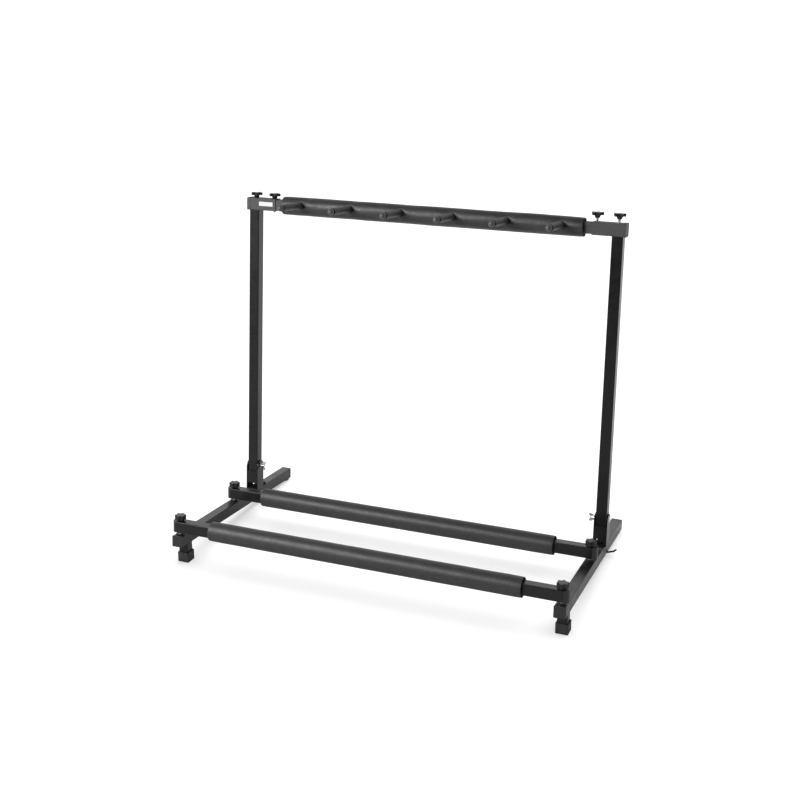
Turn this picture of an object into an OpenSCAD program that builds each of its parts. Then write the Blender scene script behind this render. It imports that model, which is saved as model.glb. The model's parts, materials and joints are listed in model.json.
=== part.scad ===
// Folding floor rack for a row of guitars.
// Two square-tube legs slope down to the rear and carry two padded floor rails.
// Two posts stand square on the legs, in folding brackets, and carry a padded neck rail with pegs.
// Millimetres. X runs across the rack, Y from the front to the back, Z up.
// The origin is on the floor, under the middle of the rack's outline.

/* [Base] */
// Width over the outer faces of the two legs
rack_w = 900; // [800:10:1000]
// Length of a leg with its end caps
leg_len = 540; // [520:10:600]
// Height of a leg's lower face at the front end
leg_front_z = 46.5; // [44:0.5:52]
// Height of a leg's lower face at the rear end
leg_rear_z = 3; // [2:0.5:4]
// Distance from the leg's front end to the front rail's bolts
front_rail_s = 14.5; // [14:0.5:16]
// Distance from the leg's front end to the rear rail's bolts
rear_rail_s = 262; // [240:1:270]
// Distance from the leg's front end to the middle of a post
post_s = 366; // [360:1:380]
// Distance from the leg's front end to the middle of a front foot
foot_s = 35; // [34:0.5:60]

/* [Tubes] */
// Outer width of the square tube of the legs, rails and posts
tube_w = 25; // [24:0.5:26]
// Wall thickness of the square tube
tube_wall = 1.5; // [1.2:0.1:2]
// Outer corner radius of the square tube
tube_r = 2; // [1:0.5:3]
// Outer width of the short foot tubes
foot_tube_w = 22; // [20:0.5:23]

/* [Feet] */
// Width of a front rubber foot
rubber_w = 27.5; // [26:0.5:30]
// Height of a front rubber foot
rubber_h = 22.5; // [18:0.5:26]
// Length of a rear pad
pad_len = 14; // [10:1:20]

/* [Foam sleeves] */
// Outer diameter of the foam on a floor rail
floor_foam_d = 43.5; // [40:0.5:46]
// Outer diameter of the foam on the neck rail
neck_foam_d = 45.5; // [40:0.5:48]
// Length of the foam on a floor rail
floor_foam_len = 715; // [600:5:720]
// Length of the foam on the neck rail
neck_foam_len = 726; // [650:2:730]

/* [Upper frame] */
// Height of the neck rail's middle above the top of the legs
neck_h = 712; // [600:2:760]
// Height of the folding pivot above the top of the legs
pivot_h = 60; // [60:0.5:64]
// Number of pegs on the neck rail
peg_count = 6; // [4:1:6]
// Distance between pegs
peg_pitch = 125.5; // [110:0.5:126]
// Distance from the neck rail's middle to a peg's tip
peg_reach = 126; // [100:1:130]
// Outer diameter of a peg's sleeve
peg_d = 16.5; // [15:0.5:18]
// Height of a peg's root above the neck rail's middle
peg_lift = 4.5; // [0:0.5:5]
// Upward slope of a peg, seen from a line square to the posts
peg_angle = 1.5; // [0:0.5:6]

/* [Knobs] */
// Outer diameter of a floor rail's knob
rail_knob_d = 25; // [22:0.5:25]
// Height of a floor rail's knob
rail_knob_h = 13; // [12:0.5:13]
// Outer diameter of a star knob on the neck rail's sockets
star_d = 28; // [22:0.5:30]
// How far the right pair of star knobs is unscrewed
star_lift = 8; // [0:0.5:8]

/* [Hidden] */

$fn = 48;
left = -1;
right = 1;
sides = [left, right];

steel_black = "#1d1d1f";
plastic_black = "#161617";
plastic_grey = "#3e3e42";
rubber_black = "#202021";
foam_black = "#242426";
zinc = "#b8bbbf";
label_white = "#e4e4ea";

// Gaps: between pieces of different bodies, and round an insert in its tube
body_gap = 0.3;
insert_gap = 0.1;
// Radii of the M6 hardware: shank, threaded or running bore, clearance hole
m6_r = 3;
m6_bore_r = 3.06;
m6_hole_r = 3.3;
nut_af = 10;
nut_h = 5;

tilt = asin((leg_front_z - leg_rear_z) / leg_len);
leg_x = rack_w / 2 - tube_w / 2;

// Moulded inserts in the ends of the tubes
tube_in = tube_w - 2 * tube_wall;
insert_w = tube_in - 2 * insert_gap;
insert_r = 0.5;
cap_head = 3;
cap_w = tube_w + 1;
cap_r = tube_r + 0.5;
cap_spigot = 7;

// Feet
foot_sole = 4;
foot_r = 2.5;
pad_w = tube_w - 4;
pad_inset = 5;

// Floor rails: each stands off the legs on a washer and a nut
washer_h = 2.5;
washer_r = 10;
rail_gap = washer_h + nut_h;
rail_mid_t = tube_w + rail_gap + tube_w / 2;
rail_top_t = rail_mid_t + tube_w / 2;
rail_tube_x = leg_x + 6;
nose_len = 10;
nose_r = (pow(tube_w / 2, 2) + pow(nose_len, 2)) / (2 * nose_len);
plug_len = 30;
bolt_above_rail = 9;
bolt_head_r = 7;
bolt_head_h = 3.3;

// The rack's outline, from the legs' front ends: the front foam and the rear plugs' upper edges
front_y = front_rail_s * cos(tilt) + rail_mid_t * sin(tilt) - floor_foam_d / 2;
back_y = leg_len * cos(tilt) + (tube_w + cap_w) / 2 * sin(tilt);
mid_y = (front_y + back_y) / 2;

// Floor rail knobs: a lobed head over a narrower hub
rail_hub_r = 8.5;
rail_hub_h = 2.2;
scallop_count = 6;
scallop_r = 4.2;
scallop_depth = 3;

// Folding bracket, in millimetres from the pivot's line or from the top of the leg
sheet = 2.5;
cheek_gap = 0.5;
bracket_w = tube_w + 2 * cheek_gap + 2 * sheet;
bracket_back = 15.5;
bracket_front = tube_w / 2 + body_gap + sheet;
cheek_top_r = (bracket_front + bracket_back) / 2;
cheek_round_h = pivot_h + 12.5 - cheek_top_r;
web_low_h = 17;
web_high_h = pivot_h - tube_w / 2 - 0.5;
screw_head_h = 4;
pivot_bolt_in = 11;
pivot_head_r = 8;
pivot_head_h = 3.5;
pivot_washer_r = 7;
pivot_washer_h = 1.5;

// Clamp lever: a round nut with a bent rod, in millimetres from the nut's axis and the leg's lower face
clamp_s = 32;
clamp_drop = 9;
lever_nut_r = 7;
lever_rod_r = 2;
lever_root = [5, 0, -6.2];
lever_slope = 18;
lever_len = 19.5;
lever_tip_slope = 40;
lever_tip_len = 7;

// Wing nut: a wing's round end lies this far from the screw's axis and from the nut's seat
wing_hub_h = 6.5;
wing_hub_low_r = 5.6;
wing_hub_high_r = 4.4;
wing_sheet = 2;
wing_end = [6.8, 9.2];
wing_end_r = 3.2;
wing_turn = -12;

// Posts
post_low_h = 18;
post_plug_head = 2;
post_plug_len = 12;
top_plug_len = 34;
pivot_sleeve_r = 5;
socket_wall = 1.5;
socket_in = tube_w + 0.4;
socket_w = socket_in + 2 * socket_wall;
post_high_h = neck_h + socket_in / 2 - 0.3;
socket_inner_x = leg_x - 56.5;
socket_outer_x = leg_x + 14.5;
inner_knob_x = leg_x - 48;
neck_tube_x = leg_x - tube_w / 2 - 1;
cap_skin = 0.6;
cap_start_x = leg_x + 9.5;
cap_end_x = leg_x + 18.5;
label_size = [36, 0.3, 10];
label_inset = 13.5;

// Pegs: a rod in a sleeve, with a ball on its end
peg_rod_r = 5;
peg_ball_r = 7.3;
peg_neck_r = 6;
peg_neck_len = 2;
peg_out = peg_reach - tube_w / 2;
peg_sleeve_end = peg_out - 2 * peg_ball_r;
peg_rod_end = peg_sleeve_end - peg_neck_len;
peg_xs = [for (i = [0:peg_count - 1]) (i - (peg_count - 1) / 2) * peg_pitch];

// Star knobs and their studs
star_head_h = 6.5;
star_hub_h = 6;
star_hub_low_r = 5;
star_hub_high_r = 7;
star_lobe_r = 3.2;
stud_len = socket_w + 4 + body_gap;
stud_in_head = 5;

// ---- Frames of reference ----

// Along a leg: x across the rack, y from the leg's front end, z from its lower face
module on_leg() translate([0, -mid_y, leg_front_z]) rotate([-tilt, 0, 0]) children();

// On the pivot side: y from the middle of a post, z from the top of the leg
module on_post() on_leg() translate([0, post_s, tube_w]) children();

// ---- Shapes that repeat ----

module rounded_square(w, r) {
    square([w - 2 * r, w], center = true);
    square([w, w - 2 * r], center = true);
    for (x = [-1, 1], y = [-1, 1]) translate([x * (w / 2 - r), y * (w / 2 - r)]) circle(r);
}

module tube_profile(w, wall, r) difference() {
    rounded_square(w, r);
    rounded_square(w - 2 * wall, max(r - wall, insert_r));
}

module along_x(x0, x1) translate([x0, 0, 0]) rotate([90, 0, 90]) linear_extrude(x1 - x0) children();
module along_y(y0, y1) translate([0, y0, 0]) rotate([-90, 0, 0]) linear_extrude(y1 - y0) children();
module along_z(z0, z1) translate([0, 0, z0]) linear_extrude(z1 - z0) children();

module stock_profile() tube_profile(tube_w, tube_wall, tube_r);
module insert_profile() rounded_square(insert_w, insert_r);

// A cylinder along X, centred on the line y = z = 0
module pin_x(x0, x1, r) translate([min(x0, x1), 0, 0]) rotate([0, 90, 0]) cylinder(h = abs(x1 - x0), r = r);

module hex_nut() difference() {
    cylinder(h = nut_h, r = nut_af / 2 / cos(30), $fn = 6);
    translate([0, 0, -1]) cylinder(h = nut_h + 2, r = m6_bore_r);
}

module washer(r, h) difference() {
    cylinder(h = h, r = r);
    translate([0, 0, -1]) cylinder(h = h + 2, r = m6_hole_r);
}

// A low dome, flat side down
module dome(r, h) {
    ball_r = (r * r + h * h) / (2 * h);
    intersection() {
        translate([0, 0, h - ball_r]) sphere(ball_r, $fn = 64);
        cylinder(h = h + 1, r = r);
    }
}

// A round-headed bolt, head down, with its shank running up from z = 0
module carriage_bolt(len) {
    rotate([180, 0, 0]) dome(bolt_head_r, bolt_head_h);
    cylinder(h = len, r = m6_r);
}

// Everything above the lower face of the legs, to trim the foot tubes and pads
module leg_underside_cut() on_leg() translate([-rack_w, -leg_len, 0]) cube([2 * rack_w, 3 * leg_len, 200]);

// ---- Legs and feet ----

module leg_tube(side) color(steel_black) on_leg() translate([side * leg_x, 0, tube_w / 2]) difference() {
    along_y(cap_head, leg_len - cap_head) stock_profile();
    for (s = [front_rail_s, rear_rail_s, post_s, post_s + clamp_s])
        translate([0, s, -tube_w]) cylinder(h = 2 * tube_w, r = m6_hole_r);
}

module foot_tube(side) color(steel_black) difference() {
    translate([side * leg_x, foot_s - mid_y, 0]) along_z(foot_sole + insert_gap, leg_front_z + foot_tube_w)
        tube_profile(foot_tube_w, tube_wall, tube_r);
    leg_underside_cut();
}

module rubber_foot(side) color(rubber_black) translate([side * leg_x, foot_s - mid_y, 0]) difference() {
    along_z(0, rubber_h) rounded_square(rubber_w, foot_r);
    along_z(foot_sole, rubber_h + 1) rounded_square(foot_tube_w + 2 * insert_gap, tube_r);
}

// A moulded insert for a leg's front end: its head covers the tube, its spigot sits inside
module leg_cap() {
    along_y(0, cap_head) rounded_square(cap_w, cap_r);
    along_y(cap_head, cap_head + cap_spigot) insert_profile();
}

module leg_front_cap(side) color(plastic_black) on_leg() translate([side * leg_x, 0, tube_w / 2]) leg_cap();

module leg_rear_plug(side) color(plastic_black)
    on_leg() translate([side * leg_x, leg_len, tube_w / 2]) rotate([0, 0, 180]) leg_cap();

module rear_pad(side) color(rubber_black) difference() {
    translate([side * leg_x - pad_w / 2, leg_len * cos(tilt) - pad_len - pad_inset - mid_y, 0])
        cube([pad_w, pad_len, leg_front_z]);
    leg_underside_cut();
}

// ---- Floor rails ----

module at_rail_bolts() for (side = sides, s = [front_rail_s, rear_rail_s])
    on_leg() translate([side * leg_x, s, 0]) children();

module floor_rail_tube(s) color(steel_black) on_leg() translate([0, s, rail_mid_t]) difference() {
    along_x(-rail_tube_x, rail_tube_x) stock_profile();
    for (side = sides) translate([side * leg_x, 0, -tube_w]) cylinder(h = 2 * tube_w, r = m6_hole_r);
}

// The rounded nose closes the tube's end, and its spigot keeps the bolt from crushing the tube
module rail_end_plugs(s) color(plastic_black) on_leg() translate([0, s, rail_mid_t])
    for (side = sides) mirror([side < 0 ? 1 : 0, 0, 0]) difference() {
        union() {
            translate([0, 0, -tube_w / 2]) linear_extrude(tube_w) intersection() {
                translate([rail_tube_x + nose_len - nose_r, 0]) circle(nose_r, $fn = 64);
                translate([rail_tube_x, -tube_w]) square([nose_len + 1, 2 * tube_w]);
            }
            along_x(rail_tube_x - plug_len, rail_tube_x) insert_profile();
        }
        translate([leg_x, 0, -tube_w]) cylinder(h = 2 * tube_w, r = m6_hole_r);
    }

module foam_sleeve(len, d) difference() {
    pin_x(-len / 2, len / 2, d / 2, $fn = 96);
    along_x(-len, len) rounded_square(tube_w + 2 * insert_gap, tube_r);
}

module floor_rail_foam(s) color(foam_black) on_leg() translate([0, s, rail_mid_t])
    foam_sleeve(floor_foam_len, floor_foam_d);

module rail_bolts() color(zinc) at_rail_bolts() carriage_bolt(rail_top_t + bolt_above_rail);
module rail_bolt_washers() color(plastic_black) at_rail_bolts() translate([0, 0, tube_w])
    washer(washer_r, washer_h);
module rail_bolt_nuts() color(zinc) at_rail_bolts() translate([0, 0, tube_w + washer_h]) hex_nut();

module rail_knob(side, s) color(plastic_black)
    on_leg() translate([side * leg_x, s, rail_top_t + body_gap]) difference() {
        union() {
            cylinder(h = rail_hub_h, r = rail_hub_r);
            along_z(rail_hub_h, rail_knob_h) difference() {
                circle(rail_knob_d / 2, $fn = 64);
                for (i = [1:scallop_count]) rotate(i * 360 / scallop_count)
                    translate([rail_knob_d / 2 + scallop_r - scallop_depth, 0]) circle(scallop_r);
            }
        }
        translate([0, 0, -1]) cylinder(h = bolt_above_rail + 2, r = m6_bore_r);
    }

// ---- Folding brackets ----

module cheek() rotate([90, 0, 90]) linear_extrude(sheet) difference() {
    union() {
        translate([-bracket_front, 0]) square([bracket_front + bracket_back, cheek_round_h]);
        translate([(bracket_back - bracket_front) / 2, cheek_round_h]) circle(cheek_top_r, $fn = 64);
    }
    translate([0, pivot_h]) circle(m6_hole_r);
}

module hinge_bracket(side) color(steel_black) on_post() translate([side * leg_x, 0, 0]) difference() {
    union() {
        for (x = [-bracket_w / 2, bracket_w / 2 - sheet]) translate([x, 0, 0]) cheek();
        translate([-bracket_w / 2, -bracket_front, web_low_h])
            cube([bracket_w, sheet, web_high_h - web_low_h]);
        translate([-bracket_w / 2, -bracket_front, 0]) cube([bracket_w, bracket_front + bracket_back, sheet]);
        translate([-tube_w / 2, 0, 0]) cube([tube_w, clamp_s, sheet]);
        translate([0, clamp_s, 0]) cylinder(h = sheet, r = tube_w / 2);
    }
    for (s = [0, clamp_s]) translate([0, s, -1]) cylinder(h = sheet + 2, r = m6_hole_r);
}

module bracket_screws() color(steel_black) on_post() for (side = sides) translate([side * leg_x, 0, sheet]) {
    cylinder(h = screw_head_h, r = nut_af / 2 / cos(30), $fn = 6);
    translate([0, 0, -sheet - tube_w - nut_h - 1]) cylinder(h = sheet + tube_w + nut_h + 1, r = m6_r);
}

module bracket_screw_nuts() color(zinc) on_post() for (side = sides)
    translate([side * leg_x, 0, -tube_w - nut_h]) hex_nut();

module clamp_bolts() color(zinc) on_post() for (side = sides) translate([side * leg_x, clamp_s, sheet])
    rotate([180, 0, 0]) carriage_bolt(sheet + tube_w + clamp_drop);

// A rod that rises from the X axis by this slope, with a ball on its far end
module sloped_rod(slope, len) rotate([0, -slope, 0]) {
    pin_x(0, len, lever_rod_r);
    translate([len, 0, 0]) sphere(lever_rod_r);
}

// A nut under the leg with a bent rod for a handle, which clears the leg's outer face
module clamp_lever(side) color(steel_black) on_post() translate([side * leg_x, clamp_s, -tube_w])
    mirror([side < 0 ? 1 : 0, 0, 0]) difference() {
        union() {
            translate([0, 0, body_gap - clamp_drop])
                cylinder(h = clamp_drop - 2 * body_gap, r = lever_nut_r);
            translate(lever_root) {
                sloped_rod(lever_slope, lever_len);
                translate([lever_len * cos(lever_slope), 0, lever_len * sin(lever_slope)])
                    sloped_rod(lever_tip_slope, lever_tip_len);
            }
        }
        translate([0, 0, -clamp_drop - 1]) cylinder(h = clamp_drop + 2, r = m6_bore_r);
    }

module pivot_bolts() color(zinc) on_post() for (side = sides) translate([side * leg_x, 0, pivot_h])
    mirror([side < 0 ? 1 : 0, 0, 0]) {
        pin_x(-bracket_w / 2 - pivot_bolt_in, bracket_w / 2, m6_r);
        translate([bracket_w / 2, 0, 0]) rotate([0, 90, 0]) dome(pivot_head_r, pivot_head_h);
    }

module pivot_washers() color(zinc) on_post() for (side = sides)
    translate([side * (leg_x - bracket_w / 2 - pivot_washer_h), 0, pivot_h]) rotate([0, side * 90, 0])
        washer(pivot_washer_r, pivot_washer_h);

// The wings flare away from the bracket
module wing() rotate([90, 0, 0]) translate([0, 0, -wing_sheet / 2]) linear_extrude(wing_sheet) {
    polygon([
        [m6_r, 0.5],
        [wing_hub_low_r, 0.5],
        wing_end + wing_end_r * [cos(20), -sin(20)],
        wing_end + wing_end_r * [-cos(20), sin(20)],
        [m6_r, wing_hub_h / 2]
    ]);
    translate(wing_end) circle(wing_end_r);
}

module wing_nut(side) color(zinc)
    on_post() translate([side * (leg_x - bracket_w / 2 - pivot_washer_h - body_gap), 0, pivot_h])
        rotate([0, -side * 90, 0]) rotate(wing_turn) difference() {
            union() {
                cylinder(h = wing_hub_h, r1 = wing_hub_low_r, r2 = wing_hub_high_r);
                wing();
                rotate(180) wing();
            }
            translate([0, 0, -1]) cylinder(h = 20, r = m6_bore_r);
        }

// ---- Posts and sockets ----

module post_tube(side) color(steel_black) on_post() translate([side * leg_x, 0, 0]) difference() {
    along_z(post_low_h, post_high_h) stock_profile();
    translate([0, 0, pivot_h]) pin_x(-tube_w, tube_w, m6_bore_r);
}

module post_bottom_plugs() color(plastic_black) on_post() for (side = sides) translate([side * leg_x, 0, 0]) {
    along_z(post_low_h - post_plug_head, post_low_h) rounded_square(tube_w, tube_r);
    along_z(post_low_h, post_low_h + post_plug_len) insert_profile();
}

module post_top_plugs() color(plastic_black) on_post() for (side = sides) translate([side * leg_x, 0, 0])
    difference() {
        along_z(post_high_h - top_plug_len, post_high_h) insert_profile();
        translate([0, 0, post_high_h - top_plug_len - 1]) cylinder(h = top_plug_len + 2, r = m6_bore_r);
    }

module pivot_sleeves() color(zinc) on_post() for (side = sides) translate([side * leg_x, 0, pivot_h])
    difference() {
        pin_x(-tube_in / 2, tube_in / 2, pivot_sleeve_r);
        pin_x(-tube_w, tube_w, m6_bore_r);
    }

// The socket holds the neck rail's end, and the post enters it from below
module rail_socket(side) color(plastic_grey) on_post() translate([0, 0, neck_h])
    mirror([side < 0 ? 1 : 0, 0, 0]) difference() {
        along_x(socket_inner_x, socket_outer_x) tube_profile(socket_w, socket_wall, tube_r);
        translate([leg_x, 0, -socket_w]) linear_extrude(socket_w) rounded_square(tube_w + 0.2, tube_r);
        translate([leg_x, 0, 0]) cylinder(h = socket_w, r = m6_hole_r);
        translate([inner_knob_x, 0, -socket_w]) cylinder(h = 2 * socket_w, r = m6_hole_r);
    }

module socket_cap(side) color(plastic_grey) on_post() translate([0, 0, neck_h])
    mirror([side < 0 ? 1 : 0, 0, 0]) difference() {
        along_x(cap_start_x, cap_end_x) rounded_square(socket_w + 2 * cap_skin, tube_r + cap_skin);
        along_x(cap_start_x - 1, socket_outer_x) rounded_square(socket_w, tube_r);
        translate([leg_x, 0, -socket_w]) linear_extrude(socket_w) rounded_square(tube_w + 0.6, tube_r);
    }

module rail_clamp_nuts() color(zinc) on_post() for (side = sides)
    translate([side * inner_knob_x, 0, neck_h - tube_in / 2]) hex_nut();

module blank_label() color(label_white) on_post()
    translate([label_inset - leg_x, -socket_w / 2 - label_size.y, neck_h - 3.5]) cube(label_size);

// ---- Neck rail and pegs ----

module neck_rail_tube() color(steel_black) on_post() translate([0, 0, neck_h]) difference() {
    along_x(-neck_tube_x, neck_tube_x) stock_profile();
    for (side = sides) translate([side * inner_knob_x, 0, -tube_w]) cylinder(h = 2 * tube_w, r = m6_hole_r);
}

// z runs out along a peg, from the neck rail's front face
module at_pegs() on_post() translate([0, -tube_w / 2, neck_h + peg_lift]) for (x = peg_xs)
    translate([x, 0, 0]) rotate([90 - peg_angle, 0, 0]) children();

module behind_rail_face() on_post() translate([-rack_w, -tube_w / 2, 0]) cube([2 * rack_w, 100, 2 * neck_h]);

module peg_rods() color(steel_black) difference() {
    at_pegs() translate([0, 0, -2]) cylinder(h = peg_rod_end + 2, r = peg_rod_r);
    behind_rail_face();
}

module peg_sleeves() color(rubber_black) difference() {
    at_pegs() difference() {
        translate([0, 0, -2]) cylinder(h = peg_sleeve_end + 2, r = peg_d / 2);
        translate([0, 0, -3]) cylinder(h = peg_rod_end + 3, r = peg_rod_r + insert_gap);
        translate([0, 0, peg_rod_end]) cylinder(h = peg_neck_len + 1, r = peg_neck_r + insert_gap);
    }
    behind_rail_face();
}

// A ball whose neck reaches into the sleeve, against the rod's end
module peg_tips() color(plastic_black) at_pegs() {
    translate([0, 0, peg_rod_end]) cylinder(h = peg_ball_r, r = peg_neck_r);
    translate([0, 0, peg_out - peg_ball_r]) sphere(peg_ball_r);
}

module neck_rail_foam() color(foam_black) difference() {
    on_post() translate([0, 0, neck_h]) foam_sleeve(neck_foam_len, neck_foam_d);
    at_pegs() translate([0, 0, -3]) cylinder(h = neck_foam_d, r = peg_d / 2 + insert_gap);
}

// ---- Star knobs ----

function star_x(outer) = outer ? leg_x : inner_knob_x;
function star_base(side) = neck_h + socket_w / 2 + body_gap + (side > 0 ? star_lift : 0);

module star_knob(side, outer) color(plastic_black)
    on_post() translate([side * star_x(outer), 0, star_base(side)]) difference() {
        union() {
            cylinder(h = star_hub_h, r1 = star_hub_low_r, r2 = star_hub_high_r);
            translate([0, 0, star_hub_h]) linear_extrude(star_head_h) {
                circle(star_hub_high_r + 0.5);
                for (a = [90:72:400]) rotate(a) {
                    translate([0, -star_lobe_r]) square([star_d / 2 - star_lobe_r, 2 * star_lobe_r]);
                    translate([star_d / 2 - star_lobe_r, 0]) circle(star_lobe_r);
                }
            }
        }
        translate([0, 0, -1]) cylinder(h = stud_in_head + 1, r = m6_r);
    }

module stud(side, outer) color(zinc)
    on_post() translate([side * star_x(outer), 0, star_base(side) - stud_len])
        cylinder(h = stud_len + stud_in_head, r = m6_r);

leg_tube(left);  // left_leg_tube
leg_tube(right);  // right_leg_tube
foot_tube(left);  // left_foot_tube
foot_tube(right);  // right_foot_tube
rubber_foot(left);  // left_rubber_foot
rubber_foot(right);  // right_rubber_foot
leg_front_cap(left);  // left_leg_front_cap
leg_front_cap(right);  // right_leg_front_cap
leg_rear_plug(left);  // left_leg_rear_plug
leg_rear_plug(right);  // right_leg_rear_plug
rear_pad(left);  // left_rear_pad
rear_pad(right);  // right_rear_pad
floor_rail_tube(front_rail_s);  // front_rail_tube
floor_rail_tube(rear_rail_s);  // rear_rail_tube
rail_end_plugs(front_rail_s);  // front_rail_end_plugs
rail_end_plugs(rear_rail_s);  // rear_rail_end_plugs
floor_rail_foam(front_rail_s);  // front_rail_foam
floor_rail_foam(rear_rail_s);  // rear_rail_foam
rail_bolts();
rail_bolt_nuts();
rail_bolt_washers();
hinge_bracket(left);  // left_hinge_bracket
hinge_bracket(right);  // right_hinge_bracket
bracket_screws();
bracket_screw_nuts();
clamp_bolts();
pivot_bolts();
pivot_washers();
clamp_lever(left);  // left_clamp_lever
clamp_lever(right);  // right_clamp_lever
rail_knob(left, front_rail_s);  // front_left_rail_knob
rail_knob(right, front_rail_s);  // front_right_rail_knob
rail_knob(left, rear_rail_s);  // rear_left_rail_knob
rail_knob(right, rear_rail_s);  // rear_right_rail_knob
wing_nut(left);  // left_wing_nut
wing_nut(right);  // right_wing_nut
post_tube(left);  // left_post_tube
post_tube(right);  // right_post_tube
post_bottom_plugs();
post_top_plugs();
pivot_sleeves();
rail_socket(left);  // left_rail_socket
rail_socket(right);  // right_rail_socket
socket_cap(left);  // left_socket_cap
socket_cap(right);  // right_socket_cap
rail_clamp_nuts();
neck_rail_tube();
peg_rods();
peg_sleeves();
peg_tips();
neck_rail_foam();
blank_label();
star_knob(left, true);  // left_outer_star_knob
star_knob(left, false);  // left_inner_star_knob
star_knob(right, true);  // right_outer_star_knob
star_knob(right, false);  // right_inner_star_knob
stud(left, true);  // left_outer_stud
stud(left, false);  // left_inner_stud
stud(right, true);  // right_outer_stud
stud(right, false);  // right_inner_stud
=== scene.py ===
"""Looks of the folding guitar rack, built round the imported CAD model.

Metres throughout. +X runs across the rack, +Y from its front to its rear, +Z up. A "leg frame" is
tilted with the legs: its y axis runs down a leg to the rear and its z axis stands square to the leg.
"""
import json
import math

import bmesh
import bpy
from mathutils import Matrix, Vector, noise


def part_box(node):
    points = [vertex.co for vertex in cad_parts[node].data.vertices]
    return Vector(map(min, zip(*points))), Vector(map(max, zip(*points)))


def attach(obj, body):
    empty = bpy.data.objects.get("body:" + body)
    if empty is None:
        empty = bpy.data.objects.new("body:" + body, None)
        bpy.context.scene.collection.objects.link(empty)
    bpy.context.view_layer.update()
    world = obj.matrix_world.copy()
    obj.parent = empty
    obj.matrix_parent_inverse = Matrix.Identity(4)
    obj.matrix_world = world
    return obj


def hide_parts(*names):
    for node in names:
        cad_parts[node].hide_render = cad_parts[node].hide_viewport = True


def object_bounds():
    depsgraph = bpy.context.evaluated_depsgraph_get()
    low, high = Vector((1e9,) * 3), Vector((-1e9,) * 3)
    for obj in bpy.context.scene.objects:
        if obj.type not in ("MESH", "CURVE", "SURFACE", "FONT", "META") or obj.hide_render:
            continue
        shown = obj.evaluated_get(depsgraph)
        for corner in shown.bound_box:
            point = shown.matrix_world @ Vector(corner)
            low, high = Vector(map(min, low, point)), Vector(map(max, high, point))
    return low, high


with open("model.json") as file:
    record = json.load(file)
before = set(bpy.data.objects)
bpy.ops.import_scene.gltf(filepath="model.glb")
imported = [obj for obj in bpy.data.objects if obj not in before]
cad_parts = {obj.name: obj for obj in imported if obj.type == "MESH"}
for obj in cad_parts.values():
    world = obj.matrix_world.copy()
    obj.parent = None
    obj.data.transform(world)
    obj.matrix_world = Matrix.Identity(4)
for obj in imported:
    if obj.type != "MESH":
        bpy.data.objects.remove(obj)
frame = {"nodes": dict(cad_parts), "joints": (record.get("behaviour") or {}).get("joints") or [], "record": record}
CAD_LOW, CAD_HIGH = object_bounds()

MM = 0.001

# ---- The leg frame, from the record's joints ----

JOINTS = {joint["name"]: joint for joint in frame["joints"]}
ACROSS = Vector((1, 0, 0))
UP = Vector(JOINTS["front_left_rail_knob_turn"]["axis"]).normalized()
BACK = UP.cross(ACROSS)


def middle(node):
    """The middle of a CAD node's box at rest."""
    low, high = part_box(node)
    return (low + high) / 2


# ---- Node materials ----

class Tree:
    """A short way to write a node tree: nodes by type, inputs by name, sockets as values.

    A texture's scale counts its cells to the metre.
    """

    def __init__(self, name):
        self.material = bpy.data.materials.new(name)
        self.material.use_nodes = True
        self.nodes = self.material.node_tree.nodes
        self.links = self.material.node_tree.links
        self.shader = self.nodes["Principled BSDF"]

    def node(self, kind, inputs=None, **settings):
        made = self.nodes.new(kind)
        for key, value in settings.items():
            setattr(made, key, value)
        for key, value in (inputs or {}).items():
            self.feed(made.inputs[key], value)
        return made

    def feed(self, socket, value):
        if isinstance(value, bpy.types.NodeSocket):
            self.links.new(value, socket)
        else:
            socket.default_value = value

    def place(self):
        return self.node("ShaderNodeTexCoord").outputs["Object"]

    def noise(self, scale, detail=2.0, roughness=0.5):
        made = self.node("ShaderNodeTexNoise", {"Vector": self.place(), "Scale": scale, "Detail": detail,
                                                "Roughness": roughness})
        return made.outputs["Fac"]

    def cells(self, scale):
        made = self.node("ShaderNodeTexVoronoi", {"Vector": self.place(), "Scale": scale})
        return made.outputs["Distance"]

    def between(self, value, low, high, from_low=0.3, from_high=0.7):
        """Maps a value's span to low and high, and keeps to them; the default span is a noise's."""
        made = self.node("ShaderNodeMapRange", {"Value": value, "From Min": from_low,
                                                "From Max": from_high, "To Min": low, "To Max": high})
        return made.outputs["Result"]

    def blend(self, share, first, second):
        made = self.node("ShaderNodeMix", {"Factor": share}, data_type="RGBA")
        for socket, colour in zip([s for s in made.inputs if s.type == "RGBA"], (first, second)):
            self.feed(socket, colour)
        return [s for s in made.outputs if s.type == "RGBA"][0]

    def add(self, first, second, operation="ADD"):
        made = self.node("ShaderNodeMath", operation=operation)
        self.feed(made.inputs[0], first)
        self.feed(made.inputs[1], second)
        return made.outputs["Value"]

    def edge(self, radius):
        """1 on an edge within this radius, and 0 on a flat face."""
        rounded = self.node("ShaderNodeBevel", {"Radius": radius}, samples=4).outputs["Normal"]
        flat = self.node("ShaderNodeNewGeometry").outputs["Normal"]
        dot = self.node("ShaderNodeVectorMath", operation="DOT_PRODUCT")
        self.links.new(rounded, dot.inputs[0])
        self.links.new(flat, dot.inputs[1])
        return self.between(dot.outputs["Value"], 1.0, 0.0, 0.75, 0.99)

    def bump(self, height, depth, strength):
        made = self.node("ShaderNodeBump", {"Height": height, "Distance": depth, "Strength": strength})
        return made.outputs["Normal"]

    def finish(self, **inputs):
        for key, value in inputs.items():
            self.feed(self.shader.inputs[key.replace("_", " ")], value)
        return self.material


def grey(value):
    return (value, value, value * 1.01, 1)


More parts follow.
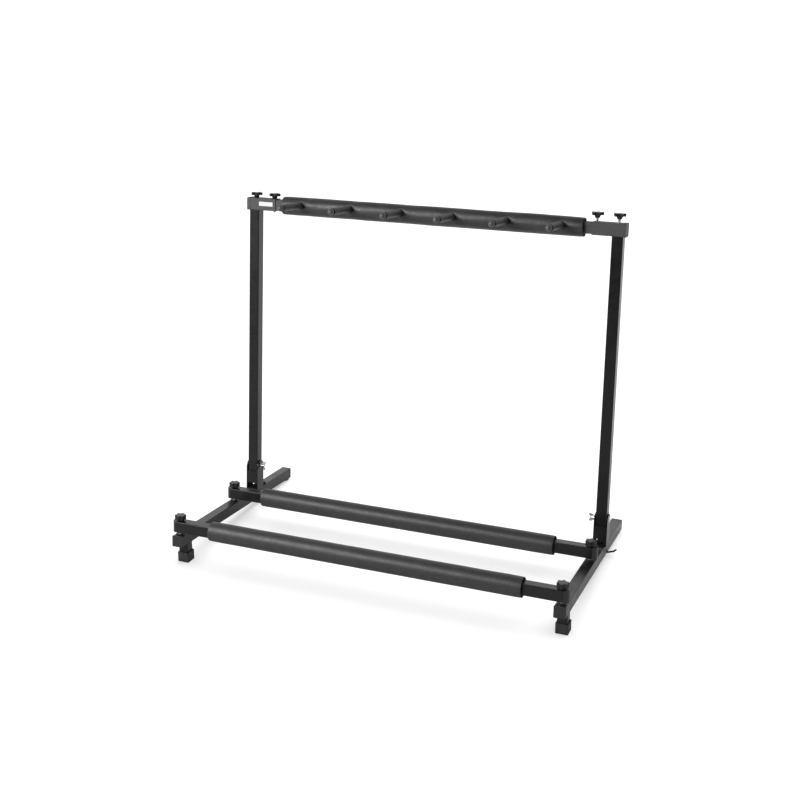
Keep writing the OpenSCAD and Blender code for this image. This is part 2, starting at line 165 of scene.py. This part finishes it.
def black_steel():
    """Semi-matt powder coat: fine orange peel, and paler at the edges, partly rubbed wear and partly a painted
    edge highlight.
    """
    tree = Tree("black_powder_coat")
    patches = tree.noise(38, 3)
    grain = tree.add(tree.noise(620, 2), tree.cells(980))
    colour = tree.blend(tree.between(patches, 0.0, 1.0), grey(0.007), grey(0.010))
    # Paler edges: partly rubbed wear, partly a painted edge highlight
    rubbed_and_highlit = tree.add(tree.edge(0.7 * MM), tree.between(tree.noise(210, 3), 0.0, 0.7), "MULTIPLY")
    colour = tree.blend(rubbed_and_highlit, colour, grey(0.030))
    return tree.finish(Base_Color=colour, Roughness=tree.between(patches, 0.26, 0.34), IOR=1.42,
                       Normal=tree.bump(grain, 0.05 * MM, 0.5))


def painted_shade_steel():
    """The same coat, made matt and near black as painted shade for the bracket's insides."""
    tree = Tree("painted_shade_powder_coat")
    colour = tree.blend(tree.between(tree.noise(60, 3), 0.0, 1.0), grey(0.005), grey(0.009))
    return tree.finish(Base_Color=colour, Roughness=tree.between(tree.noise(300, 2), 0.75, 0.95),
                       Specular_IOR_Level=0.12, Normal=tree.bump(tree.noise(620, 2), 0.05 * MM, 0.5))


def foam():
    """A closed skin with shallow dents and dark pores."""
    tree = Tree("foam_skin")
    pores = tree.cells(1500)
    grain = tree.add(tree.noise(900, 3, 0.6), tree.between(pores, 0.0, 1.0, 0.05, 0.5), "MULTIPLY")
    dents = tree.add(tree.add(tree.noise(160, 3, 0.6), 4.0, "MULTIPLY"), grain)
    colour = tree.blend(tree.between(tree.noise(55, 4, 0.6), 0.0, 1.0), grey(0.028), grey(0.040))
    colour = tree.blend(tree.between(pores, 0.35, 0.0, 0.0, 0.25), colour, grey(0.014))
    return tree.finish(Base_Color=colour, Roughness=tree.between(tree.noise(130, 3), 0.42, 0.52),
                       Normal=tree.bump(dents, 0.16 * MM, 0.6))


def cut_foam():
    """Sawn through: open cells that swallow the light."""
    tree = Tree("cut_foam")
    colour = tree.blend(tree.between(tree.cells(1100), 0.0, 1.0, 0.0, 0.4), grey(0.003), grey(0.009))
    return tree.finish(Base_Color=colour, Roughness=tree.between(tree.noise(400, 2), 0.85, 1.0),
                       Specular_IOR_Level=0.1, Normal=tree.bump(tree.cells(1100), 0.3 * MM, 0.8))


def rubber():
    """Matt rubber out of a mould, a little uneven in tone."""
    tree = Tree("moulded_rubber")
    colour = tree.blend(tree.between(tree.noise(70, 4), 0.0, 1.0), grey(0.020), grey(0.030))
    return tree.finish(Base_Color=colour, Roughness=tree.between(tree.noise(160, 3), 0.50, 0.66),
                       Normal=tree.bump(tree.noise(1300, 3), 0.06 * MM, 0.5))


def plastic():
    """Satin black nylon."""
    tree = Tree("moulded_nylon")
    colour = tree.blend(tree.between(tree.noise(60, 3), 0.0, 1.0), grey(0.016), grey(0.023))
    return tree.finish(Base_Color=colour, Roughness=tree.between(tree.noise(260, 3), 0.34, 0.46),
                       Normal=tree.bump(tree.noise(1700, 2), 0.03 * MM, 0.5))


def knob_plastic():
    """A darker nylon, polished by hands, and paler at its edges, partly handling wear and partly a painted edge
    highlight.
    """
    tree = Tree("knob_nylon")
    colour = tree.blend(tree.between(tree.noise(90, 3), 0.0, 1.0), grey(0.007), grey(0.011))
    # Paler edges: partly handling wear, partly a painted edge highlight
    colour = tree.blend(tree.edge(0.6 * MM), colour, grey(0.022))
    return tree.finish(Base_Color=colour, Roughness=tree.between(tree.noise(240, 3), 0.30, 0.42),
                       Normal=tree.bump(tree.noise(1700, 2), 0.03 * MM, 0.5))


def textured_grey(name, dark, light, smooth=0.55, rough=0.70):
    """Fine pits that catch the light, as from a spark-eroded mould or in a rough coat."""
    tree = Tree(name)
    pits = tree.cells(700)
    colour = tree.blend(tree.between(tree.noise(420, 3, 0.7), 0.0, 1.0), grey(dark), grey(light))
    return tree.finish(Base_Color=colour, Roughness=tree.between(tree.noise(300, 3), smooth, rough),
                       Normal=tree.bump(tree.add(pits, tree.noise(900, 2)), 0.12 * MM, 0.6))


def zinc(name, dark, light, smooth, rough):
    """Zinc plate, clouded between two tones and two roughnesses."""
    tree = Tree(name)
    colour = tree.blend(tree.between(tree.noise(180, 4), 0.0, 1.0), grey(dark), grey(light))
    return tree.finish(Base_Color=colour, Roughness=tree.between(tree.noise(320, 3), smooth, rough),
                       Metallic=1.0, Normal=tree.bump(tree.noise(1500, 2), 0.02 * MM, 0.4))


def sticker():
    """Glossy silver-white film."""
    tree = Tree("silver_white_sticker")
    colour = tree.blend(tree.between(tree.noise(400, 2), 0.0, 1.0), grey(0.72), grey(0.78))
    return tree.finish(Base_Color=colour, Roughness=tree.between(tree.noise(500, 2), 0.28, 0.36))


MATERIALS = {"black_steel": black_steel(), "foam": foam(), "black_rubber": rubber(),
             "black_plastic": plastic(), "label": sticker(),
             "zinc_steel": zinc("bright_zinc_plate", 0.50, 0.64, 0.22, 0.38),
             "grey_nylon": textured_grey("grey_nylon", 0.046, 0.076)}
KNOB = knob_plastic()
RAIL_PAINT = textured_grey("rough_powder_coat", 0.045, 0.070)
TIP_NYLON = textured_grey("tip_nylon", 0.055, 0.075, 0.36, 0.46)
# A paler paint for the clamp levers' far ends
PALE_TIP_PAINT = textured_grey("pale_tip_paint", 0.100, 0.135)
# Dull zinc, darkened further as painted shade where the clamp bolts' heads sit inside the bracket
DULL_SHADED_ZINC = zinc("dull_shaded_zinc_plate", 0.08, 0.12, 0.50, 0.65)
# A matt near-black copy of the black coat: painted shade for the bracket's insides and screws
PAINTED_SHADE_STEEL = painted_shade_steel()
CUT_FOAM = cut_foam()
SLOT_OF = {part["node"]: part["material_slot"] for part in frame["record"]["subparts"]}


def finish_of(name):
    """A CAD node's finish: its slot's, or one of its own."""
    if name.endswith("_knob"):
        return KNOB
    if name == "neck_rail_tube":
        return RAIL_PAINT
    if name == "peg_tips":
        return TIP_NYLON
    # The clamp bolts get the darkened zinc: painted shade for the bracket's inside
    if name == "clamp_bolts":
        return DULL_SHADED_ZINC
    # The bracket's screws take the painted shade coat, standing in for the shade inside the bracket
    if name == "bracket_screws":
        return PAINTED_SHADE_STEEL
    return MATERIALS[SLOT_OF[name]]


for name, node in frame["nodes"].items():
    for index in range(len(node.data.materials)):
        node.data.materials[index] = finish_of(name)


def repaint(data, finish, wanted):
    """Gives another finish to those faces of a mesh that are wanted."""
    data.materials.append(finish)
    for face in data.polygons:
        if wanted(face):
            face.material_index = len(data.materials) - 1


BRACKET_SHEET = 2.5 * MM
SLACK = 0.1 * MM
FACING_FORWARD = -0.5
PALE_TIP_REACH = 4 * MM


def paint_bracket_shade(side):
    """Painted shade inside: the base plate, the inner faces of the cheeks and the back of the web get a matt
    near-black copy of the coat.
    """
    node = side + "_hinge_bracket"
    low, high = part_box(node)
    inside = (high.x - low.x) / 2 - BRACKET_SHEET + SLACK
    centre = middle(node)

    def in_painted_shade(face):
        between_cheeks = abs(face.center.x - centre.x) < inside
        return between_cheeks and face.normal.dot(BACK) > FACING_FORWARD

    repaint(frame["nodes"][node].data, PAINTED_SHADE_STEEL, in_painted_shade)


def pale_lever_tip(side):
    """The lever's far end gets a paler paint."""
    joint = JOINTS[side + "_clamp_lever_swing"]
    data = frame["nodes"][side + "_clamp_lever"].data

    def reach(point):
        away = point - Vector(joint["pos_m"])
        return (away - UP * away.dot(UP)).length

    longest = max(reach(vertex.co) for vertex in data.vertices)
    repaint(data, PALE_TIP_PAINT, lambda face: reach(face.center) > longest - PALE_TIP_REACH)


for side in ("left", "right"):
    paint_bracket_shade(side)
    pale_lever_tip(side)


# ---- Rounded edges on the CAD pieces ----

SHARP = math.radians(32)
FLAT = math.radians(0.5)
TOUCHING = 0.002 * MM
EDGE_OF = (("_knob", 0.9 * MM), ("wing_nut", 0.5 * MM), ("rubber_foot", 1.0 * MM),
           ("socket_cap", 1.1 * MM), ("_cap", 0.7 * MM), ("_plug", 0.7 * MM), ("_pad", 0.6 * MM),
           ("socket", 1.0 * MM), ("bracket", 0.4 * MM),
           ("peg_sleeves", 1.4 * MM), ("nuts", 0.5 * MM), ("washers", 0.4 * MM), ("bolts", 0.3 * MM),
           ("tube", 0.3 * MM), ("lever", 0.3 * MM), ("label", 0.08 * MM))


def soften(node, width):
    """Joins the facets of each flat face, then rounds the sharp edges between them."""
    weld = node.modifiers.new("weld", "WELD")
    weld.merge_threshold = TOUCHING
    flat = node.modifiers.new("flat_faces", "DECIMATE")
    flat.decimate_type = "DISSOLVE"
    flat.angle_limit = FLAT
    bevel = node.modifiers.new("rounded_edges", "BEVEL")
    bevel.width = width
    bevel.segments = 2
    bevel.limit_method = "ANGLE"
    bevel.angle_limit = SHARP
    shade = node.modifiers.new("shading", "WEIGHTED_NORMAL")
    shade.keep_sharp = False


for name, node in frame["nodes"].items():
    for word, width in EDGE_OF:
        if word in name:
            soften(node, width)
            break


# ---- New pieces ----

def piece(name, mesh, body, slot, *stands_for):
    """Makes a shown piece of a bmesh, gives it its finish and hides the CAD nodes that it stands for."""
    data = bpy.data.meshes.new(name)
    mesh.to_mesh(data)
    mesh.free()
    data.materials.append(MATERIALS[slot])
    data.shade_smooth()
    made = bpy.data.objects.new(name, data)
    bpy.context.scene.collection.objects.link(made)
    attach(made, body)
    if stands_for:
        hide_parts(*stands_for)
    return made


def skin_rings(rings, looped=False):
    """A skin over rings of points, each with the same count; it has flat ends, or closes on itself."""
    mesh = bmesh.new()
    rows = [[mesh.verts.new(point) for point in ring] for ring in rings]
    count = len(rows[0])

    def join(row, following):
        for i in range(count):
            j = (i + 1) % count
            mesh.faces.new((row[i], row[j], following[j], following[i]))

    for row, following in zip(rows, rows[1:]):
        join(row, following)
    if looped:
        join(rows[-1], rows[0])
    else:
        mesh.faces.new(list(reversed(rows[0])))
        mesh.faces.new(rows[-1])
    bmesh.ops.recalc_face_normals(mesh, faces=mesh.faces)
    return mesh


# ---- Foam sleeves ----

FOAM_AROUND = 96
FOAM_STEP = 3 * MM
FOAM_EDGE = 0.8 * MM
EDGE_STEPS = 4
CUT_DEPTH = 0.3 * MM
BORE_W = 25.2 * MM
BORE_DEPTH = 6 * MM
BORE_FLARE = 2.6 * MM
FLARE_DEPTH = 3 * MM


def square_point(angle, width, corner=2 * MM):
    """A point of a rounded square's outline in the direction of this angle."""
    c, s = math.cos(angle), math.sin(angle)
    reach = (width / 2) / max(abs(c), abs(s))
    most = width / 2 * math.sqrt(2) - corner * (math.sqrt(2) - 1)
    reach = min(reach, most)
    return c * reach, s * reach


def sleeve_mesh(centre, length, diameter, inset):
    """A foam tube along X, square inside; inset(x, angle) is how far its skin is drawn in there."""
    half = length / 2
    angles = [2 * math.pi * i / FOAM_AROUND for i in range(FOAM_AROUND)]
    steps = round(length / FOAM_STEP)

    def skin(x, turned_in=0.0):
        points = []
        for angle in angles:
            radius = diameter / 2 - turned_in - inset(x, angle)
            points.append(centre + ACROSS * x + (BACK * math.cos(angle) + UP * math.sin(angle)) * radius)
        return points

    def bore(x, flare=0.0):
        points = []
        for angle in angles:
            y, z = square_point(angle, BORE_W + flare)
            points.append(centre + ACROSS * x + BACK * y + UP * z)
        return points

    def end(sign):
        """From inside the bore, which flares at its mouth, over the end face and a quarter turn."""
        rings = [bore(sign * (half - BORE_DEPTH)),
                 bore(sign * (half - FLARE_DEPTH)),
                 bore(sign * half, BORE_FLARE)]
        for k in range(EDGE_STEPS):
            turn = math.pi / 2 * k / EDGE_STEPS
            x = sign * (half - FOAM_EDGE * (1 - math.cos(turn)))
            rings.append(skin(x, FOAM_EDGE * (1 - math.sin(turn))))
        return rings

    length_between = length - 2 * FOAM_EDGE
    body = [skin(-half + FOAM_EDGE + length_between * i / steps) for i in range(steps + 1)]
    return skin_rings(end(-1) + body + end(1)[::-1], looped=True)


def sleeve(name, body, node, mesh, half):
    """A foam sleeve in its CAD node's place, centred across the rack, with dark sawn ends."""
    made = piece(name, mesh, body, "foam", node)
    repaint(made.data, CUT_FOAM, lambda face: abs(face.center.x) > half - CUT_DEPTH)


def soft_wave(x, angle, seed, size):
    """A slow, repeatable unevenness from 0 to 1, with waves about this size."""
    around = 1.2
    apart = 7.3
    point = Vector((x / size, math.cos(angle) * around + seed * apart, math.sin(angle) * around))
    return min(max(0.5 + 0.5 * noise.noise(point), 0.0), 1.0)


def pinched_end(x, half, depth, reach):
    """Foam narrows a little where it was cut."""
    return depth * math.exp(-(half - abs(x)) / reach)


def floor_foam(end, seed):
    """A floor rail's foam, nearly even all along."""
    node = end + "_rail_foam"
    low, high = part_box(node)
    half = (high.x - low.x) / 2

    def inset(x, angle):
        wave = 0.5 * MM * soft_wave(x, angle, seed, size=50 * MM)
        return wave + pinched_end(x, half, depth=0.5 * MM, reach=9 * MM)

    sleeve(end + "_rail_sleeve", "base_frame", node,
           sleeve_mesh(middle(node), 2 * half, high.z - low.z, inset), half)


PEG_COUNT = 6
PEG_SLEEVE_R = 8.25 * MM
ROOT_REACH = 1 * MM
PUCKER_DEPTH = 2.8 * MM
PUCKER_REACH = 5.5 * MM
DIP_DEPTH = 1.1 * MM
DIP_REACH = 24 * MM


def pegs():
    """The pegs' places along the neck rail, and how far along UP their roots lie."""
    low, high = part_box("peg_tips")
    ball = high.z - low.z
    first, last = low.x + ball / 2, high.x - ball / 2
    rods = [vertex.co for vertex in frame["nodes"]["peg_rods"].data.vertices]
    rear = max(point.dot(BACK) for point in rods)
    roots = [point.dot(UP) for point in rods if point.dot(BACK) > rear - ROOT_REACH]
    places = [first + (last - first) * i / (PEG_COUNT - 1) for i in range(PEG_COUNT)]
    return places, sum(roots) / len(roots)


def neck_foam():
    """The neck rail's foam, drawn in round each peg and a little lumpy between them."""
    centre = middle("neck_rail_tube")
    low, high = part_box("neck_rail_foam")
    half, diameter = (high.x - low.x) / 2, high.z - low.z
    peg_xs, root = pegs()
    lift = root - centre.dot(UP)

    def pucker(x, angle):
        """Close round each peg, and as a wide dip of the front behind it."""
        facing = max(0.0, -math.cos(angle))
        drawn = 0.0
        for peg_x in peg_xs:
            away = math.hypot(x - peg_x, diameter / 2 * math.sin(angle) - lift)
            close = max(0.0, away - PEG_SLEEVE_R)
            drawn += PUCKER_DEPTH * math.exp(-close / PUCKER_REACH)
            drawn += DIP_DEPTH * math.exp(-((x - peg_x) / DIP_REACH) ** 2)
        return drawn * facing ** 0.5

    def inset(x, angle):
        lumps = 1.3 * MM * soft_wave(x, angle, seed=5, size=70 * MM)
        dents = 0.5 * MM * soft_wave(x, angle, seed=8, size=22 * MM)
        return lumps + dents + pucker(x, angle) + pinched_end(x, half, depth=0.9 * MM, reach=10 * MM)

    sleeve("neck_rail_sleeve", "upper_frame", "neck_rail_foam",
           sleeve_mesh(centre, 2 * half, diameter, inset), half)


floor_foam("front", 1)
floor_foam("rear", 2)
neck_foam()


# ---- Screw threads of the star knobs' studs ----

THREAD_PITCH = 1 * MM
THREAD_DEPTH = 0.35 * MM
THREAD_AROUND = 24
ROWS_A_TURN = 6


def reach_along(node, origin, axis):
    """The least and greatest distance of a node's points along an axis."""
    heights = [(vertex.co - origin).dot(axis) for vertex in frame["nodes"][node].data.vertices]
    return min(heights), max(heights)


def threaded_stud(place):
    """A star knob's stud with its thread: a V-shaped groove that winds up and runs out at both ends."""
    node = place + "_stud"
    joint = JOINTS[place + "_star_knob_turn"]
    origin = Vector(joint["pos_m"])
    start, end = reach_along(node, origin, UP)
    low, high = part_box(node)
    radius = (high.x - low.x) / 2
    count = round((end - start) / THREAD_PITCH * ROWS_A_TURN)
    rings = []
    for row in range(count + 1):
        height = start + (end - start) * row / count
        taper = min(1.0, row / ROWS_A_TURN, (count - row) / ROWS_A_TURN)
        ring = []
        for i in range(THREAD_AROUND):
            turn = i / THREAD_AROUND
            phase = (height / THREAD_PITCH - turn) % 1
            groove = THREAD_DEPTH * (1 - abs(2 * phase - 1)) + (1 - taper) * THREAD_DEPTH
            angle = 2 * math.pi * turn
            ring.append(origin + UP * height
                        + (ACROSS * math.cos(angle) + BACK * math.sin(angle)) * (radius - groove))
        rings.append(ring)
    piece(place + "_threaded_stud", skin_rings(rings), place + "_star_knob", "zinc_steel", node)


for side in ("left", "right"):
    for place in ("outer", "inner"):
        threaded_stud(side + "_" + place)


# ---- Weld beads where the foot tubes meet the legs ----

BEAD_R = 1.3 * MM
BEAD_STEPS = 72
BEAD_AROUND = 10
RIPPLES = 9
RIPPLE = 0.16
UNEVEN = 0.10
UNEVEN_SIZE = 4 * MM


def bead_mesh(cores, outs, across, radii):
    """A closed bead through these points; each ring lies in its outward and crosswise directions."""
    rings = []
    for core, out, radius in zip(cores, outs, radii):
        ring = []
        for k in range(BEAD_AROUND):
            turn = 2 * math.pi * k / BEAD_AROUND
            ring.append(core + (out * math.cos(turn) + across * math.sin(turn)) * radius)
        rings.append(ring)
    return skin_rings(rings, looped=True)


def foot_weld(side):
    """A bead round the top of a foot tube, where the sloping leg's underside cuts it."""
    low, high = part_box(side + "_foot_tube")
    width = high.x - low.x
    centre = (low + high) / 2
    leg_low, leg_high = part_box(side + "_leg_tube")
    # The leg's lower face is a plane square to UP, half a tube below the leg's middle
    under = middle(side + "_leg_tube").dot(UP) - (leg_high.x - leg_low.x) / 2
    cores, outs, radii = [], [], []
    for step in range(BEAD_STEPS):
        angle = 2 * math.pi * step / BEAD_STEPS
        x, y = square_point(angle, width)
        z = (under - (centre.y + y) * UP.y) / UP.z
        cores.append(Vector((centre.x + x, centre.y + y, z)))
        outs.append(Vector((math.cos(angle), math.sin(angle), 0)))
        uneven = UNEVEN * noise.noise(Vector((x, y, 0)) / UNEVEN_SIZE)
        radii.append(BEAD_R * (1 + (RIPPLE * math.cos(RIPPLES * angle) + uneven)))
    piece(side + "_foot_weld", bead_mesh(cores, outs, -UP, radii), "base_frame", "black_steel")


foot_weld("left")
foot_weld("right")


# ---- Studio ----

RACK_MIDDLE = (CAD_LOW + CAD_HIGH) / 2
# How bright the surroundings look to the camera
PALE = 1.02
# The overhead light would make a floor this white as bright, and the greyer floor glows to make up for it
WHITE_FLOOR = 0.91
FLOOR_GLOW = 0.40
# What lights the rack from round about: a dim room, and a backdrop low behind it
ROOM = 0.10
BACKDROP = 0.93
AIM = Vector((0, 0, 0.3))


def floor():
    """A pale floor that ends a few steps in front of the rack, with a soft light of its own from above.

    Returns a light-linking collection that takes in everything but the floor.
    """
    mesh = bmesh.new()
    half_width, near, far = 60, -2.4, 90
    corners = ((-half_width, near, 0), (half_width, near, 0), (half_width, far, 0), (-half_width, far, 0))
    mesh.faces.new([mesh.verts.new(corner) for corner in corners])
    data = bpy.data.meshes.new("floor")
    mesh.to_mesh(data)
    mesh.free()
    # The camera sees an even floor, and the rack is lit by one that brightens to the rear
    tree = Tree("pale_floor")
    speckle = tree.blend(tree.noise(90, 3), grey(0.60), grey(0.62))
    depth = tree.node("ShaderNodeSeparateXYZ", {"Vector": tree.place()}).outputs["Y"]
    bounce = tree.blend(tree.between(depth, 0.0, 1.0, -0.1, 1.0), grey(0.455), grey(0.82))
    seen = tree.node("ShaderNodeLightPath").outputs["Is Camera Ray"]
    glow = tree.add(seen, FLOOR_GLOW, "MULTIPLY")
    data.materials.append(tree.finish(Base_Color=tree.blend(seen, bounce, speckle), Roughness=0.9,
                                      Specular_IOR_Level=0.0, Emission_Color=grey(1.0),
                                      Emission_Strength=glow))
    made = bpy.data.objects.new("floor", data)
    bpy.context.scene.collection.objects.link(made)

    lit_alone = bpy.data.collections.new("lit_by_overhead")
    lit_alone.objects.link(made)
    lamp = bpy.data.lights.new("overhead", "SUN")
    lamp.energy = PALE / WHITE_FLOOR * math.pi
    lamp.angle = math.radians(80)
    overhead = bpy.data.objects.new("overhead", lamp)
    bpy.context.scene.collection.objects.link(overhead)
    overhead.light_linking.receiver_collection = lit_alone

    all_but_floor = bpy.data.collections.new("lit_by_softboxes")
    all_but_floor.objects.link(made)
    for item in all_but_floor.collection_objects:
        item.light_linking.link_state = "EXCLUDE"
    return all_but_floor


def softbox(name, place, width, height, power, receivers):
    """A soft light on the rack alone; the floor has its own."""
    data = bpy.data.lights.new(name, "AREA")
    data.shape = "RECTANGLE"
    data.size, data.size_y = width, height
    data.energy = power
    made = bpy.data.objects.new(name, data)
    made.location = place
    made.rotation_euler = (AIM - Vector(place)).to_track_quat("-Z", "Y").to_euler()
    made.light_linking.receiver_collection = receivers
    bpy.context.scene.collection.objects.link(made)


def surroundings():
    """A white backdrop low behind the rack, a dim room elsewhere, and pale to the camera itself."""
    world = bpy.data.worlds.new("studio")
    world.use_nodes = True
    nodes, links = world.node_tree.nodes, world.node_tree.links

    def ramp(value, start, end, at_start, at_end):
        made = nodes.new("ShaderNodeMapRange")
        made.interpolation_type = "SMOOTHSTEP"
        spans = {"From Min": start, "From Max": end, "To Min": at_start, "To Max": at_end}
        for key, number in spans.items():
            made.inputs[key].default_value = number
        links.new(value, made.inputs["Value"])
        return made.outputs["Result"]

    def math_node(operation, first, second):
        made = nodes.new("ShaderNodeMath")
        made.operation = operation
        for socket, value in zip(made.inputs, (first, second)):
            if isinstance(value, bpy.types.NodeSocket):
                links.new(value, socket)
            else:
                socket.default_value = value
        return made.outputs["Value"]

    split = nodes.new("ShaderNodeSeparateXYZ")
    links.new(nodes.new("ShaderNodeTexCoord").outputs["Generated"], split.inputs[0])
    behind = ramp(split.outputs["Y"], start=-0.1, end=0.4, at_start=0.0, at_end=1.0)
    low = ramp(split.outputs["Z"], start=0.42, end=0.98, at_start=1.0, at_end=0.0)
    backdrop = math_node("MULTIPLY", math_node("MULTIPLY", behind, low), BACKDROP)
    room = math_node("ADD", ROOM, backdrop)
    seen = nodes.new("ShaderNodeLightPath").outputs["Is Camera Ray"]
    strength = math_node("MAXIMUM", room, math_node("MULTIPLY", seen, PALE))
    links.new(strength, nodes["Background"].inputs["Strength"])
    nodes["Background"].inputs["Color"].default_value = (1, 1, 1, 1)
    bpy.context.scene.world = world


def camera():
    """In front of the rack, to its right and above it, turned left and a little down."""
    heading, downward, roll_angle = 21.649, 14.499, -0.167
    data = bpy.data.cameras.new("camera")
    data.sensor_width = 36
    data.lens = 56.33
    data.shift_y = -0.135
    data.clip_start, data.clip_end = 0.05, 200
    made = bpy.data.objects.new("camera", data)
    made.location = (0.9725, RACK_MIDDLE.y - 2.4678, 1.2963)
    turn = Matrix.Rotation(math.radians(heading), 4, "Z")
    tip = Matrix.Rotation(math.radians(90 - downward), 4, "X")
    roll = Matrix.Rotation(math.radians(roll_angle), 4, "Z")
    made.rotation_euler = (turn @ tip @ roll).to_euler()
    bpy.context.scene.collection.objects.link(made)
    bpy.context.scene.camera = made


ALL_BUT_FLOOR = floor()
softbox("key", place=(-1.5, -2.0, 2.0), width=1.8, height=0.8, power=85, receivers=ALL_BUT_FLOOR)
softbox("fill", place=(-2.2, -1.7, 0.8), width=1.0, height=1.2, power=12, receivers=ALL_BUT_FLOOR)
surroundings()
camera()
bpy.context.scene.view_settings.view_transform = "Standard"
